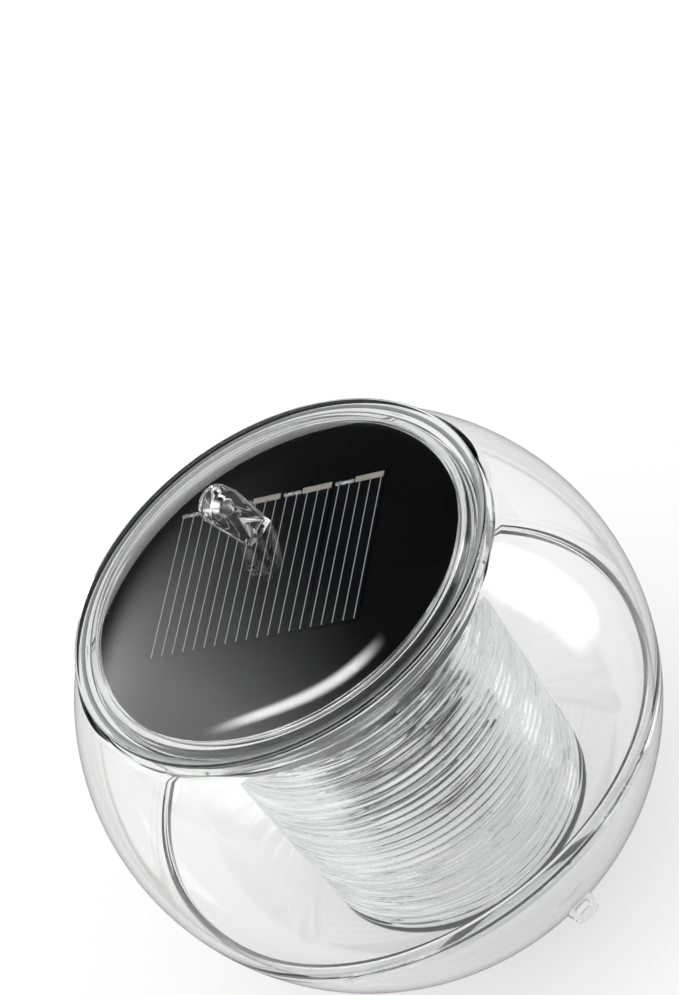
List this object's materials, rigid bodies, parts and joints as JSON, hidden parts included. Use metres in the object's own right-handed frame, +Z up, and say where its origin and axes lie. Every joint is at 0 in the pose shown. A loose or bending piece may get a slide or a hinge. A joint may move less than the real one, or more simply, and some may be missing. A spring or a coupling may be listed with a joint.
{
  "type": "floating pool light",
  "caption": "Clear floating globe lamp with a ribbed light column and a screw-in solar cap that carries a hanging eye, a battery and a downward lamp.",
  "frame": {"origin": "centre of the flat foot under the globe, at the bottom of the part", "axes": "+Z up along the globe's axis towards the solar cap; the tether lug is 13 degrees from -Y towards +X; the switch slides along +X"},
  "size_m": [0.11, 0.11, 0.116],
  "materials": {
    "clear_globe": "clear polystyrene, polished",
    "clear_column": "clear polystyrene, finely ribbed",
    "clear_cap": "clear polystyrene, polished",
    "silicone_seal": "soft grey silicone",
    "panel_black": "glossy black",
    "silicon": "dark silicon with fine printed fingers",
    "tinned_ribbon": "tinned copper",
    "white_housing": "satin white moulding",
    "screw_steel": "zinc plated",
    "board_green": "green solder mask",
    "black_plastic": "black moulding",
    "choke_coating": "green coated choke",
    "capacitor_sleeve": "dark blue sleeve",
    "led_epoxy": "clear epoxy",
    "nickel_contact": "nickel plated",
    "cell_sleeve": "green shrink sleeve",
    "red_insulation": "wire insulation",
    "black_insulation": "wire insulation",
    "blue_insulation": "wire insulation"
  },
  "bodies": {
    "globe": {"lower_bowl": "clear_globe", "upper_shell": "clear_globe"},
    "column": {"ribbed_column": "clear_column"},
    "seal": {"neck_o_ring": "silicone_seal"},
    "cap": {"clear_cap": "clear_cap", "panel_board": "panel_black", "cell_strip_1": "silicon", "cell_strip_2": "silicon", "cell_strip_3": "silicon", "cell_strip_4": "silicon", "bus_ribbon_1": "tinned_ribbon", "bus_ribbon_2": "tinned_ribbon", "bus_ribbon_3": "tinned_ribbon", "bus_ribbon_4": "tinned_ribbon", "lamp_housing": "white_housing", "housing_cover": "white_housing", "lamp_stem": "black_plastic", "cover_screw_1": "screw_steel", "cover_screw_2": "screw_steel", "cover_screw_3": "screw_steel", "circuit_board": "board_green", "driver_chip": "black_plastic", "driver_choke": "choke_coating", "smoothing_capacitor": "capacitor_sleeve", "led_lamp": "led_epoxy", "led_leg_positive": "nickel_contact", "led_leg_negative": "nickel_contact", "cell_holder": "black_plastic", "rechargeable_cell": "cell_sleeve", "positive_contact": "nickel_contact", "negative_contact": "nickel_contact", "contact_spring": "nickel_contact", "switch_body": "nickel_contact", "panel_wire_red": "red_insulation", "panel_wire_black": "black_insulation", "battery_wire_red": "red_insulation", "battery_wire_black": "black_insulation", "switch_wire_blue": "blue_insulation", "lamp_wire_red": "red_insulation", "lamp_wire_black": "black_insulation"},
    "switch": {"switch_slider": "black_plastic"}
  },
  "joints": [
    {"name": "insert_lift_out", "type": "slide", "parent": "globe", "child": "column", "axis": [0, 0, 1], "range_m": [0, 0.08]},
    {"name": "cap_rise", "type": "slide", "parent": "column", "child": "seal", "axis": [0, 0, 1], "range_m": [0, 0.00376]},
    {"name": "cap_turn", "type": "hinge", "parent": "seal", "child": "cap", "pos_m": [0, 0, 0.09], "axis": [0, 0, 1], "range_deg": [0, 540]},
    {"name": "switch_slide", "type": "slide", "parent": "cap", "child": "switch", "axis": [1, 0, 0], "range_m": [0, 0.002]}
  ],
  "couplings": [
    {"joint": "cap_rise", "follows": "cap_turn", "m_per_rad": 0.00039789}
  ]
}
